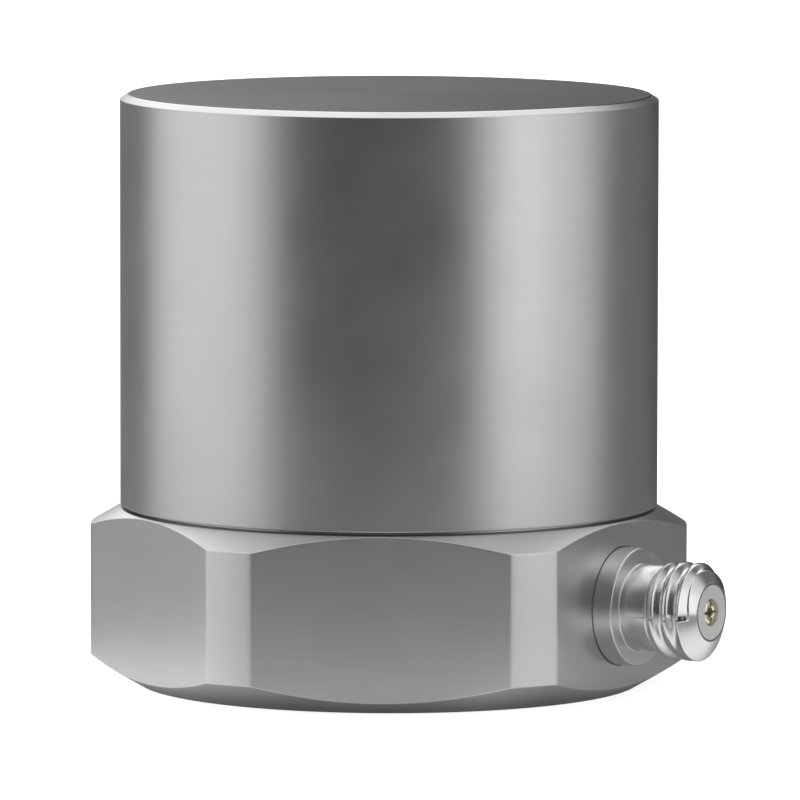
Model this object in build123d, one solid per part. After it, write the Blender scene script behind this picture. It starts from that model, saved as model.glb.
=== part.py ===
from build123d import *

import math
import os

# Vibration sensor: a shear type piezoelectric accelerometer in a stainless steel case, with a coaxial
# socket at its side. Millimetres. The origin is the centre of the mounting face, Z runs up the axis of
# the case and X runs out along the connector.

# Case
ACROSS_FLATS = 27.0
CORNER_OUT = 1.39
CONE_DEG = 30.0
LOWER_CONE_TOP = 1.38
UPPER_CONE_FOOT = 7.92
CAN_INSET = 0.10
CAN_WALL = 1.20
CAN_TOP = 29.40
CAN_CHAMFER_R = 0.43
CAN_CHAMFER_H = 0.26
SEAM_GAP = 0.15
SEAM_DEPTH = 0.60
REGISTER_CLEARANCE = 0.05
REGISTER_HEIGHT = 1.44

# Mounting hole, at its tapping drill radius
TAP_DRILL_R = 2.10
TAP_DEPTH = 6.50
TAP_MOUTH_R = 2.60
DRILL_POINT_DEG = 118.0

# Connector, measured along its own axis from the flat it stands on
CONNECTOR_Z = 4.64
SPOTFACE_R = 2.97
SPOTFACE_DEPTH = 0.20
FLANGE_R = 2.92
FLANGE_OUT = 1.05
FLANGE_BREAK = 0.10
NECK_R = 2.12
NECK_OUT = 2.40
THREAD_R = 2.46
THREAD_START = 2.95
THREAD_END = 4.50
NOSE_LIP = 0.12
NOSE_OUT = 5.08
SHELL_BORE_R = 1.34
BODY_R = 2.30
BODY_IN = 2.90
BODY_CLEARANCE = 0.05
SEAL_LENGTH = 1.40
CONTACT_R = 0.60
CONTACT_ROOM_R = 0.68
CONTACT_ROOM_DEPTH = 2.20
CONTACT_BACK_OUT = 0.90
CONTACT_RECESS = 0.04
SOCKET_R = 0.25
SOCKET_DEPTH = 2.00
SLOT_WIDTH = 0.14
SLOT_DEPTH = 1.80
TAIL_R = 0.35
TAIL_IN = 4.00

# Wiring pocket and wires
POCKET_IN = 1.30
POCKET_R = 2.80
POCKET_FLOOR = 2.40
WIRE_R = 0.30
WIRE_HOLE_R = 0.50
WIRE_EDGE = 0.60
WIRE_CLEARANCE = 0.20
LEAD_R = 0.16

# Sensing element
DISC_HEIGHT = 1.00
DISC_RIM = 0.40
FLANGE_PLATE_HEIGHT = 1.00
POST_INRADIUS = 2.60
POST_CORNER_R = 4.30
ELEMENT_ANGLES = (30.0, 150.0, 270.0)
PLATE_WIDTH = 5.60
PLATE_THICK = 1.00
PLATE_LIFT = 1.00
FOIL_THICK = 0.15
MASS_WIDTH = 11.20
MASS_LIFT = 0.70
RING_WALL = 0.70
RING_LIFT = 2.10

# Amplifier
SPACER_R = 2.60
SPACER_HEIGHT = 1.60
BOARD_CLEARANCE = 0.85
BOARD_HEIGHT = 1.00
BOARD_ROOM = 3.65
SCREW_R = 1.00
SCREW_LENGTH = 6.50
SCREW_HEAD_R = 1.80
SCREW_HEAD_HEIGHT = 1.20
SCREW_KEY = 1.50
SCREW_KEY_DEPTH = 0.70
CHIP = (5.20, 4.20, 1.50)
CHIP_PLACE = (0.00, 5.20)
RESISTOR = (0.80, 1.60, 0.50)
RESISTOR_PLACES = ((4.60, 2.00), (6.00, 2.00), (4.60, -2.80), (6.00, -2.80))
CAPACITOR = (3.20, 1.80, 1.60)
CAPACITOR_PLACES = ((-4.40, -2.60), (-4.40, -5.20))

# Shield, sleeve and pad
SHIELD_CLEARANCE = 0.05
SHIELD_WALL = 0.35
SLEEVE_CLEARANCE = 0.05
SLEEVE_WALL = 0.60
SLEEVE_AIR = 0.55
SLEEVE_HEADROOM = 1.00
PAD_R = 7.50
PAD_HEIGHT = 1.60

# Heights and radii that follow from the sizes above
FLAT_X = ACROSS_FLATS / 2
CORNER_R = FLAT_X + CORNER_OUT
CAN_R = FLAT_X - CAN_INSET
CONE_RISE = math.tan(math.radians(CONE_DEG))
SEAT_R = CORNER_R - LOWER_CONE_TOP / CONE_RISE
UPPER_CONE_TOP = UPPER_CONE_FOOT + (CORNER_R - CAN_R) * CONE_RISE
CAN_FOOT = UPPER_CONE_TOP + SEAM_GAP
REGISTER_TOP = CAN_FOOT + REGISTER_HEIGHT
CAN_INNER_R = CAN_R - CAN_WALL
CAN_CEILING = CAN_TOP - CAN_WALL
REGISTER_R = CAN_INNER_R - REGISTER_CLEARANCE
TAP_MOUTH_DEPTH = TAP_MOUTH_R - TAP_DRILL_R
DRILL_POINT = TAP_DRILL_R / math.tan(math.radians(DRILL_POINT_DEG / 2))
NOSE_R = SHELL_BORE_R + NOSE_LIP
SLEEVE_R = CAN_INNER_R - SLEEVE_AIR
SLEEVE_INNER_R = SLEEVE_R - SLEEVE_WALL
SLEEVE_TOP = CAN_CEILING - SLEEVE_HEADROOM
DISC_R = SLEEVE_INNER_R - SLEEVE_CLEARANCE
DISC_TOP = REGISTER_TOP + DISC_HEIGHT
SHIELD_R = DISC_R - DISC_RIM
SHIELD_INNER_R = SHIELD_R - SHIELD_WALL
SHIELD_TOP = CAN_CEILING - PAD_HEIGHT
FLANGE_PLATE_R = SHIELD_INNER_R - SHIELD_CLEARANCE
PLATE_FLOOR = DISC_TOP + FLANGE_PLATE_HEIGHT
BOARD_R = SHIELD_INNER_R - BOARD_CLEARANCE
BOARD_TOP = SHIELD_TOP - SHIELD_WALL - BOARD_ROOM
BOARD_FOOT = BOARD_TOP - BOARD_HEIGHT
POST_TOP = BOARD_FOOT - SPACER_HEIGHT
POST_HEIGHT = POST_TOP - PLATE_FLOOR
WIRE_X = BOARD_R - WIRE_EDGE
POCKET_X = WIRE_X - POCKET_IN
FOIL_AT = POST_INRADIUS + PLATE_THICK
MASS_AT = FOIL_AT + FOIL_THICK
RING_R = WIRE_X - WIRE_R - WIRE_CLEARANCE
MASS_R = RING_R - RING_WALL
PLATE_HEIGHT = POST_HEIGHT - 2 * PLATE_LIFT
MASS_HEIGHT = POST_HEIGHT - 2 * MASS_LIFT
RING_HEIGHT = POST_HEIGHT - 2 * RING_LIFT
RING_FOOT = PLATE_FLOOR + RING_LIFT
RING_TOP = RING_FOOT + RING_HEIGHT

os.makedirs("parts", exist_ok=True)


def turned(points):
    """Solid of revolution about Z from a closed outline of (radius, height) points."""
    with BuildPart() as part:
        with BuildSketch(Plane.XZ):
            with BuildLine():
                Polyline(*points, close=True)
            make_face()
        revolve(axis=Axis.Z)
    return part.part


def rod(radius, height, x=0.0, y=0.0, z=0.0):
    """Round bar standing on height z."""
    return Pos(x, y, z) * Cylinder(radius, height, align=(Align.CENTER, Align.CENTER, Align.MIN))


def block(size, x, y, z):
    """Rectangular block standing on height z."""
    return Pos(x, y, z) * Box(*size, align=(Align.CENTER, Align.CENTER, Align.MIN))


def hexagon_bar(across_flats, height, z=0.0):
    """Six-sided bar with a flat towards +X."""
    sketch = RegularPolygon(across_flats / math.sqrt(3), 6, rotation=30)
    return Pos(0, 0, z) * extrude(sketch, height)


def wire_along(radius, points):
    """Round wire along straight runs with square bends."""
    path = Polyline(*points)
    section = Plane(path @ 0, z_dir=path % 0) * Circle(radius)
    return sweep(section, path=path, transition=Transition.RIGHT)


def save(shape, node):
    """Write one node as a STEP file."""
    shape.label = node
    export_step(shape, os.path.join("parts", node + ".step"))


# Connector pieces are turned about Z and then laid along +X on the flat
lay = Pos(FLAT_X, 0, CONNECTOR_Z) * Rot(0, 90, 0)

# Base: a hexagon bar under a turned profile, with the seam groove and the register for the can
profile = turned(
    [
        (0, 0),
        (SEAT_R, 0),
        (CORNER_R, LOWER_CONE_TOP),
        (CORNER_R, UPPER_CONE_FOOT),
        (CAN_R, UPPER_CONE_TOP),
        (CAN_R - SEAM_DEPTH, UPPER_CONE_TOP),
        (CAN_R - SEAM_DEPTH, CAN_FOOT),
        (REGISTER_R, CAN_FOOT),
        (REGISTER_R, REGISTER_TOP),
        (0, REGISTER_TOP),
    ]
)
tapped_hole = turned(
    [
        (0, 0),
        (TAP_MOUTH_R, 0),
        (TAP_DRILL_R, TAP_MOUTH_DEPTH),
        (TAP_DRILL_R, TAP_DEPTH),
        (0, TAP_DEPTH + DRILL_POINT),
    ]
)
spotface = lay * rod(SPOTFACE_R, SPOTFACE_DEPTH + 1, z=-SPOTFACE_DEPTH)
connector_bore = lay * rod(BODY_R + BODY_CLEARANCE, FLAT_X - POCKET_X, z=-(FLAT_X - POCKET_X))
pocket = rod(POCKET_R, REGISTER_TOP, x=POCKET_X, z=POCKET_FLOOR)
base = profile & hexagon_bar(ACROSS_FLATS, REGISTER_TOP)
base = base - tapped_hole - spotface - connector_bore - pocket
save(base, "base")

# Outer can: a turned cup whose edge stands on the base's shoulder
outer_can = turned(
    [
        (CAN_INNER_R, CAN_FOOT),
        (CAN_R, CAN_FOOT),
        (CAN_R, CAN_TOP - CAN_CHAMFER_H),
        (CAN_R - CAN_CHAMFER_R, CAN_TOP),
        (0, CAN_TOP),
        (0, CAN_CEILING),
        (CAN_INNER_R, CAN_CEILING),
    ]
)
save(outer_can, "outer_can")

# Connector shell: flange on the spotface, undercut neck, threaded barrel at its outside diameter, coned end
connector_shell = lay * turned(
    [
        (SHELL_BORE_R, -BODY_IN),
        (BODY_R, -BODY_IN),
        (BODY_R, -SPOTFACE_DEPTH),
        (FLANGE_R, -SPOTFACE_DEPTH),
        (FLANGE_R, FLANGE_OUT - FLANGE_BREAK),
        (FLANGE_R - FLANGE_BREAK, FLANGE_OUT),
        (NECK_R, FLANGE_OUT),
        (NECK_R, NECK_OUT),
        (THREAD_R, THREAD_START),
        (THREAD_R, THREAD_END),
        (NOSE_R, NOSE_OUT),
        (SHELL_BORE_R, NOSE_OUT),
    ]
)
save(connector_shell, "connector_shell")

# Connector insulator: tube with room at the front for the contact's fingers to spread
connector_insulator = lay * turned(
    [
        (CONTACT_ROOM_R, NOSE_OUT),
        (SHELL_BORE_R, NOSE_OUT),
        (SHELL_BORE_R, -BODY_IN + SEAL_LENGTH),
        (TAIL_R, -BODY_IN + SEAL_LENGTH),
        (TAIL_R, CONTACT_BACK_OUT),
        (CONTACT_R, CONTACT_BACK_OUT),
        (CONTACT_R, NOSE_OUT - CONTACT_ROOM_DEPTH),
        (CONTACT_ROOM_R, NOSE_OUT - CONTACT_ROOM_DEPTH),
    ]
)
save(connector_insulator, "connector_insulator")

# Connector contact: tail, barrel and a socket that two crossing slots part into four fingers
contact_front = NOSE_OUT - CONTACT_RECESS
contact = turned(
    [
        (0, -TAIL_IN),
        (TAIL_R, -TAIL_IN),
        (TAIL_R, CONTACT_BACK_OUT),
        (CONTACT_R, CONTACT_BACK_OUT),
        (CONTACT_R, contact_front),
        (SOCKET_R, contact_front),
        (SOCKET_R, contact_front - SOCKET_DEPTH),
        (0, contact_front - SOCKET_DEPTH),
    ]
)
slot_x = block((2 * CONTACT_R + 1, SLOT_WIDTH, SLOT_DEPTH + 1), 0, 0, contact_front - SLOT_DEPTH)
slot_y = block((SLOT_WIDTH, 2 * CONTACT_R + 1, SLOT_DEPTH + 1), 0, 0, contact_front - SLOT_DEPTH)
save(lay * (contact - slot_x - slot_y), "connector_contact")

# Connector seal: glass bead between shell and tail
connector_seal = lay * turned(
    [
        (TAIL_R, -BODY_IN),
        (SHELL_BORE_R, -BODY_IN),
        (SHELL_BORE_R, -BODY_IN + SEAL_LENGTH),
        (TAIL_R, -BODY_IN + SEAL_LENGTH),
    ]
)
save(connector_seal, "connector_seal")

# Insulating disc: alumina plate with a hole for each wire
ground_y = -(SHELL_BORE_R + BODY_R) / 2
signal_hole = rod(WIRE_HOLE_R, POST_TOP, x=WIRE_X)
ground_hole = rod(WIRE_HOLE_R, POST_TOP, x=WIRE_X, y=ground_y)
insulating_disc = rod(DISC_R, DISC_HEIGHT, z=REGISTER_TOP) - signal_hole - ground_hole
save(insulating_disc, "insulating_disc")

# Element post: round flange under a three-sided post with blunted corners
post_triangle = RegularPolygon(2 * POST_INRADIUS, 3, rotation=ELEMENT_ANGLES[0] + 60)
post_prism = Pos(0, 0, PLATE_FLOOR) * extrude(post_triangle, POST_HEIGHT)
post_body = post_prism & rod(POST_CORNER_R, POST_HEIGHT, z=PLATE_FLOOR)
flange_plate = rod(FLANGE_PLATE_R, FLANGE_PLATE_HEIGHT, z=DISC_TOP) - signal_hole - ground_hole
screw_hole = rod(SCREW_R, SCREW_LENGTH, z=BOARD_TOP - SCREW_LENGTH)
save(flange_plate + post_body - screw_hole, "element_post")

# Shear plates, foils and masses: one of each on every flat of the post
for number, degrees in enumerate(ELEMENT_ANGLES, start=1):
    turn = Rot(0, 0, degrees)
    plate_x = POST_INRADIUS + PLATE_THICK / 2
    plate_z = PLATE_FLOOR + PLATE_LIFT
    plate = turn * block((PLATE_THICK, PLATE_WIDTH, PLATE_HEIGHT), plate_x, 0, plate_z)
    save(plate, "piezo_plate_" + str(number))
    foil_x = FOIL_AT + FOIL_THICK / 2
    foil = turn * block((FOIL_THICK, PLATE_WIDTH, PLATE_HEIGHT), foil_x, 0, plate_z)
    save(foil, "contact_foil_" + str(number))
    mass_round = rod(MASS_R, MASS_HEIGHT, z=PLATE_FLOOR + MASS_LIFT)
    mass_x = MASS_AT + MASS_R / 2
    mass_cut = block((MASS_R, MASS_WIDTH, MASS_HEIGHT), mass_x, 0, PLATE_FLOOR + MASS_LIFT)
    save(turn * (mass_round & mass_cut), "seismic_mass_" + str(number))

# Clamping ring: bears on the round backs of the three masses
clamping_ring = rod(RING_R, RING_HEIGHT, z=RING_FOOT) - rod(MASS_R, RING_HEIGHT, z=RING_FOOT)
save(clamping_ring, "clamping_ring")

# Board spacer, board and the socket head screw that clamps both to the post
board_spacer = rod(SPACER_R, SPACER_HEIGHT, z=POST_TOP) - screw_hole
save(board_spacer, "board_spacer")
amplifier_board = rod(BOARD_R, BOARD_HEIGHT, z=BOARD_FOOT) - screw_hole
save(amplifier_board, "amplifier_board")
board_screw = turned(
    [
        (0, BOARD_TOP - SCREW_LENGTH),
        (SCREW_R, BOARD_TOP - SCREW_LENGTH),
        (SCREW_R, BOARD_TOP),
        (SCREW_HEAD_R, BOARD_TOP),
        (SCREW_HEAD_R, BOARD_TOP + SCREW_HEAD_HEIGHT),
        (0, BOARD_TOP + SCREW_HEAD_HEIGHT),
    ]
)
key_floor = BOARD_TOP + SCREW_HEAD_HEIGHT - SCREW_KEY_DEPTH
board_screw = board_screw - hexagon_bar(SCREW_KEY, SCREW_KEY_DEPTH, z=key_floor)
save(board_screw, "board_screw")

# Parts on the board
save(block(CHIP, *CHIP_PLACE, BOARD_TOP), "amplifier_chip")
for number, (x, y) in enumerate(RESISTOR_PLACES, start=1):
    save(block(RESISTOR, x, y, BOARD_TOP), "board_resistor_" + str(number))
for number, (x, y) in enumerate(CAPACITOR_PLACES, start=1):
    save(block(CAPACITOR, x, y, BOARD_TOP), "board_capacitor_" + str(number))

# Shield can over element and board, standing on the insulating disc
shield_can = rod(SHIELD_R, SHIELD_TOP - DISC_TOP, z=DISC_TOP)
shield_can = shield_can - rod(SHIELD_INNER_R, SHIELD_TOP - SHIELD_WALL - DISC_TOP, z=DISC_TOP)
save(shield_can, "shield_can")

# Isolating sleeve round the disc and the shield, standing on the register
sleeve_height = SLEEVE_TOP - REGISTER_TOP
isolating_sleeve = rod(SLEEVE_R, sleeve_height, z=REGISTER_TOP)
isolating_sleeve = isolating_sleeve - rod(SLEEVE_INNER_R, sleeve_height, z=REGISTER_TOP)
save(isolating_sleeve, "isolating_sleeve")

# Pad between shield and can
save(rod(PAD_R, PAD_HEIGHT, z=SHIELD_TOP), "top_pad")

# Charge lead from the clamping ring up to the board
lead_x = -(MASS_R + RING_WALL / 2)
save(rod(LEAD_R, BOARD_FOOT - RING_TOP, x=lead_x, z=RING_TOP), "charge_lead")

# Signal wire from the contact's tail, up through the pocket, to the board
signal_route = [
    (FLAT_X - TAIL_IN, 0, CONNECTOR_Z),
    (WIRE_X, 0, CONNECTOR_Z),
    (WIRE_X, 0, BOARD_FOOT),
]
save(wire_along(WIRE_R, signal_route), "signal_wire")

# Ground wire from the back of the connector shell to the board
ground_route = [
    (FLAT_X - BODY_IN, ground_y, CONNECTOR_Z),
    (WIRE_X, ground_y, CONNECTOR_Z),
    (WIRE_X, ground_y, BOARD_FOOT),
]
save(wire_along(WIRE_R, ground_route), "ground_wire")
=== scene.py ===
# %% [markdown]
# # A vibration sensor in stainless steel
#
# A piezoelectric vibration sensor is a small closed case: a six-sided base for the wrench, a turned can
# over the sensing element, and a coaxial socket at one side. The solids of all its pieces come from CAD as
# a fixed frame. This lesson dresses the five pieces that show with surfaces worked out in numpy, and gives
# every piece the finish of its real material.

# %% Load the frame
import math

import bpy
import numpy as np
from mathutils import Matrix, Vector


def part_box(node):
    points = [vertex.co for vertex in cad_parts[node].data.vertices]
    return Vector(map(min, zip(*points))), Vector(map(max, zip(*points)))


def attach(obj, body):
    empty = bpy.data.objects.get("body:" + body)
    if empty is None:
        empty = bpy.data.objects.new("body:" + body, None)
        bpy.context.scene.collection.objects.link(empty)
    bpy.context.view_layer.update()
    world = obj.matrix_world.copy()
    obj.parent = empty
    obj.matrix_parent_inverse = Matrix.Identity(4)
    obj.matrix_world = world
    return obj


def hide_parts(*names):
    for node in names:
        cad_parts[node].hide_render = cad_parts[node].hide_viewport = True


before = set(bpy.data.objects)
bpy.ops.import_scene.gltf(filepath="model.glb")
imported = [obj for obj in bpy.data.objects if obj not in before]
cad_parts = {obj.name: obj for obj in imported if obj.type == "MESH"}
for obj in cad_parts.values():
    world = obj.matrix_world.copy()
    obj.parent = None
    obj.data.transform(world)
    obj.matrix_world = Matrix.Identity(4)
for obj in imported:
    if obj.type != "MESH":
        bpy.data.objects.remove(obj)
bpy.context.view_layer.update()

MM = 0.001

# %% [markdown]
# ## The sizes that drive the surfaces
#
# A dressed piece has to sit exactly where its solid sits. So the large sizes are read from the boxes of the
# CAD nodes, and only the small ones that a box can't tell, such as a thread's pitch, are written down.
# Everything is in millimetres until a mesh is made.

# %% Read the sizes
def box_mm(node):
    """Lowest and highest corner of a CAD node, in millimetres."""
    low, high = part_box(node)
    return np.array(low) / MM, np.array(high) / MM


base_high = box_mm("base")[1]
can_low, can_high = box_mm("outer_can")
shell_low, shell_high = box_mm("connector_shell")
FLAT = base_high[0]
CORNER = base_high[1]
REGISTER_TOP = base_high[2]
CAN_R = can_high[0]
CAN_FOOT = can_low[2]
CAN_TOP = can_high[2]
SOCKET_Z = (shell_low[2] + shell_high[2]) / 2
NOSE_OUT = shell_high[0] - FLAT
BODY_BACK = shell_low[0] - FLAT
FLANGE_R = (shell_high[1] - shell_low[1]) / 2
print(f"flats {2 * FLAT:.2f}, corners {2 * CORNER:.2f}, can {2 * CAN_R:.2f} x {CAN_TOP - CAN_FOOT:.2f} mm")

# %% [markdown]
# ## The camera
#
# A small object looks calm when it is taken from afar with a long lens, because near and far edges then
# keep almost the same scale. The camera stands 32 degrees round from the front and 6 degrees up. It is
# aimed a little past the case's axis, which frames the object without any lens shift.

# %% Work out the camera's place
AZIMUTH = math.radians(31.588)
ELEVATION = math.radians(5.7555)
ROLL = math.radians(0.103)
DISTANCE = 479.69
AIM_HEIGHT = 14.89
AIM_RIGHT = 0.552
AIM_DOWN = 0.811
UP = np.array([0.0, 0.0, 1.0])

towards = np.array([math.sin(AZIMUTH), -math.cos(AZIMUTH), 0.0])
rightwards = np.array([math.cos(AZIMUTH), math.sin(AZIMUTH), 0.0])
back = math.cos(ELEVATION) * towards + math.sin(ELEVATION) * UP
place = AIM_HEIGHT * UP + DISTANCE * back
aim = AIM_HEIGHT * UP + AIM_RIGHT * rightwards - AIM_DOWN * np.cross(back, rightwards)
axis_z = Vector(place - aim).normalized()
axis_x = Vector(UP).cross(axis_z).normalized()
turned_axes = Matrix((axis_x, axis_z.cross(axis_x), axis_z)).transposed() @ Matrix.Rotation(ROLL, 3, "Z")
print("camera at", [round(x, 1) for x in place], "mm")

# %% Set up the camera
LENS = 432.8
SENSOR_WIDTH = 36.0
NEAREST_METRES = 0.02
FARTHEST_METRES = 20.0

camera_data = bpy.data.cameras.new("camera")
camera_data.lens = LENS
camera_data.sensor_width = SENSOR_WIDTH
camera_data.clip_start = NEAREST_METRES
camera_data.clip_end = FARTHEST_METRES
camera = bpy.data.objects.new("camera", camera_data)
camera.matrix_world = Matrix.Translation(Vector(place * MM)) @ turned_axes.to_4x4()
bpy.context.scene.collection.objects.link(camera)
bpy.context.scene.camera = camera
bpy.context.scene.view_settings.view_transform = "Standard"
print(f"the lens covers {math.degrees(camera_data.angle):.2f} degrees")

# %% [markdown]
# ## One function that adds a node
#
# Every finish below is a small net of nodes. This function adds one node, sets its options, and fills its
# sockets with either a plain value or the output of an earlier node. Colours are written as the sRGB hex
# values that a picture editor shows, and one function turns them into the linear values that light adds up
# in.

# %% Define the node and colour helpers
def linear(code):
    """sRGB hex to linear RGBA: (c / 12.92) below 0.04045 and ((c + 0.055) / 1.055) to the power 2.4 above."""
    c = np.array([int(code[i : i + 2], 16) for i in (1, 3, 5)]) / 255
    light = np.where(c <= 0.04045, c / 12.92, ((c + 0.055) / 1.055) ** 2.4)
    return (*light.tolist(), 1.0)


def add(tree, kind, sockets=None, **settings):
    """Adds a node of this kind. Settings are its options, sockets maps an input to a value or an output."""
    made = tree.nodes.new(kind)
    for name, value in settings.items():
        setattr(made, name, value)
    for name, value in (sockets or {}).items():
        if isinstance(value, bpy.types.NodeSocket):
            tree.links.new(value, made.inputs[name])
        else:
            made.inputs[name].default_value = value
    return made


def new_material(name):
    """An empty material of that name, and its node tree."""
    material = bpy.data.materials.new(name)
    material.use_nodes = True
    material.node_tree.nodes.clear()
    return material, material.node_tree


# %% [markdown]
# ## The light: a tent round the sensor
#
# Steel has hardly any colour of its own, it shows what stands round it. Photographers put such an object in
# a tent of white cloth with a lit wall at each side, and leave the front dim where the camera looks in.
# Here the world is that tent: its brightness is a smooth function of direction. A lit cloth is the cosine
# between the direction and the middle of the cloth, passed through a smooth step. This way was chosen over
# lamps because the place and the width of each cloth can be set in degrees, just as the steel shows them.

# %% Define directions, steps and cloths
WHITE = (1.0, 1.0, 1.0, 1.0)


def view_direction(degrees, lift=0.0):
    """Unit direction, seen from the sensor, at that many degrees right of the camera and that many up."""
    a, b = math.radians(degrees), math.radians(lift)
    return math.cos(b) * (math.cos(a) * towards + math.sin(a) * rightwards) + math.sin(b) * UP


def smooth_step(tree, value, start, end, low, high):
    """Smooth step of value from low at start to high at end."""
    sockets = {"Value": value, "From Min": start, "From Max": end, "To Min": low, "To Max": high}
    return add(tree, "ShaderNodeMapRange", sockets, interpolation_type="SMOOTHSTEP").outputs[0]


def cloth(tree, looking, middle, core, reach, brightness):
    """A lit cloth: full brightness within core degrees of its middle direction, none past reach degrees."""
    cosine = add(tree, "ShaderNodeVectorMath", {0: looking, 1: tuple(middle)}, operation="DOT_PRODUCT")
    edge, full = math.cos(math.radians(reach)), math.cos(math.radians(core))
    return smooth_step(tree, cosine.outputs["Value"], edge, full, 0.0, brightness)


def laid_flat(tree, vector):
    """The vector without its height, made unit length."""
    flat = add(tree, "ShaderNodeVectorMath", {0: vector, 1: (1, 1, 0)}, operation="MULTIPLY").outputs[0]
    return add(tree, "ShaderNodeVectorMath", {0: flat}, operation="NORMALIZE").outputs[0]


def combine(tree, operation, first, *others):
    """Sum or product of several outputs and values."""
    for other in others:
        first = add(tree, "ShaderNodeMath", {0: first, 1: other}, operation=operation).outputs[0]
    return first


# %% [markdown]
# ## The walls of the tent
#
# On the upright can each lit wall becomes a bright band, and the dim front becomes the dark middle. For a
# wall the direction is laid flat first, so that the wall reaches from the table to the top. A lamp behind
# the right wall lifts the middle of its band, and two faint walls at the back light the can's outer edges.
# The walls fade out well below the table's level, and they are dimmer high up.

# %% Hang the walls
UNLIT = 0.03

world = bpy.data.worlds.new("light tent")
bpy.context.scene.world = world
world.use_nodes = True
tent = world.node_tree
tent.nodes.clear()
direction = add(tent, "ShaderNodeTexCoord").outputs["Generated"]
height = add(tent, "ShaderNodeSeparateXYZ", {0: direction}).outputs["Z"]
level = laid_flat(tent, direction)
left_wall = cloth(tent, level, view_direction(-86), core=9, reach=46, brightness=0.95)
right_wall = cloth(tent, level, view_direction(69), core=5, reach=42, brightness=0.84)
right_lamp = cloth(tent, level, view_direction(57), core=3, reach=18, brightness=0.30)
rear_left = cloth(tent, level, view_direction(-145), core=5, reach=40, brightness=0.11)
rear_right = cloth(tent, level, view_direction(122), core=5, reach=35, brightness=0.11)
walls = combine(tent, "ADD", left_wall, right_wall, right_lamp, rear_left, rear_right, UNLIT)
walls_foot = smooth_step(tent, height, -0.75, -0.35, 0.0, 1.0)
walls_top = smooth_step(tent, height, 0.35, 0.85, 1.0, 0.7)
walls = combine(tent, "MULTIPLY", walls, walls_foot, walls_top)
print("left wall towards", view_direction(-86).round(2), "and right wall", view_direction(69).round(2))

# %% [markdown]
# ## The back and the top of the tent
#
# The can's top and the upper cone look up, so they show the cloth high behind the sensor. It is bounded at
# both sides and dims near the point straight up. A flag, which is a dark board in front of a cloth, shades
# its low right part, and the can's top stays grey. An overhead cloth lights what looks straight up, such as
# the top of the socket. A dim cloth at the front is there for the can's top as it is seen from behind, and
# light from below for the underside. The camera itself sees plain white behind the sensor.

# %% Hang the cloths behind and above, and light the world
rear_cloth = cloth(tent, direction, view_direction(-177, 50), core=25, reach=52, brightness=1.40)
flagged = cloth(tent, direction, view_direction(160, 15), core=12, reach=30, brightness=1.0)
rear_flag = smooth_step(tent, flagged, 0.0, 1.0, 1.0, 0.0)
rear_sides = cloth(tent, level, view_direction(180), core=58, reach=74, brightness=1.0)
rear_top = smooth_step(tent, height, 0.95, 0.985, 1.0, 0.3)
rear_cloth = combine(tent, "MULTIPLY", rear_cloth, rear_flag, rear_sides, rear_top)
overhead_cloth = cloth(tent, direction, view_direction(0, 80), core=14, reach=34, brightness=0.58)
front_cloth = cloth(tent, direction, view_direction(-5, 40), core=16, reach=40, brightness=0.07)
below = smooth_step(tent, height, -0.50, -0.38, 0.30, 0.0)
strength = combine(tent, "ADD", walls, rear_cloth, overhead_cloth, front_cloth, below, UNLIT)
lit = add(tent, "ShaderNodeBackground", {"Color": WHITE, "Strength": strength}).outputs[0]
seen = add(tent, "ShaderNodeBackground", {"Color": WHITE, "Strength": 1.0}).outputs[0]
ray = add(tent, "ShaderNodeLightPath").outputs["Is Camera Ray"]
shown = add(tent, "ShaderNodeMixShader", {0: ray, 1: lit, 2: seen}).outputs[0]
add(tent, "ShaderNodeOutputWorld", {"Surface": shown})
print("tent nodes:", len(tent.nodes))

# %% [markdown]
# ## Grids that become meshes
#
# Each new piece is a grid of points: rows run along an outline, columns run round an axis. Neighbouring
# points make the faces. A row that lies on the axis is one point, and its faces are triangles. If the faces
# turn out to point inwards, which the sign of the enclosed volume tells, they are all turned over.
#
# Real edges are never sharp, and the small rounding at an edge is what catches the light. So an outline is
# given by its corners and a radius for each, and all arcs are worked out at once.

# %% Define the grid helpers
def unit(vectors):
    """Vectors divided by their lengths."""
    return vectors / np.linalg.norm(vectors, axis=-1, keepdims=True)


def rounded(corners, radii, steps=6, rest=0.02):
    """Open outline with its inner corners rounded, each by its radius. With unit directions d1 in and d2 out of
    a corner that turns by 2h, the arc's centre is the corner plus (d2 - d1) made unit times radius / cos h, and
    the arc runs from -h to h. One more point at each side, rest away on the straight run, keeps the run's
    shading flat."""
    corners = np.asarray(corners, float)
    radii = np.asarray(radii, float)[..., None, None]
    here = corners[..., 1:-1, :]
    d1, d2 = unit(here - corners[..., :-2, :]), unit(corners[..., 2:, :] - here)
    half = np.arccos(np.clip((d1 * d2).sum(-1), -1, 1))[..., None] / 2
    inward, along = unit(d2 - d1)[..., None, :], unit(d1 + d2)[..., None, :]
    angle = (half * np.linspace(-1, 1, steps))[..., None]
    middle = here[..., None, :] + inward * radii / np.cos(half)[..., None]
    arc = middle + radii * (np.sin(angle) * along - np.cos(angle) * inward)
    before, after = arc[..., :1, :] - rest * d1[..., None, :], arc[..., -1:, :] + rest * d2[..., None, :]
    arcs = np.concatenate([before, arc, after], axis=-2)
    arcs = arcs.reshape(*corners.shape[:-2], -1, 2)
    return np.concatenate([corners[..., :1, :], arcs, corners[..., -1:, :]], axis=-2)


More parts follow.
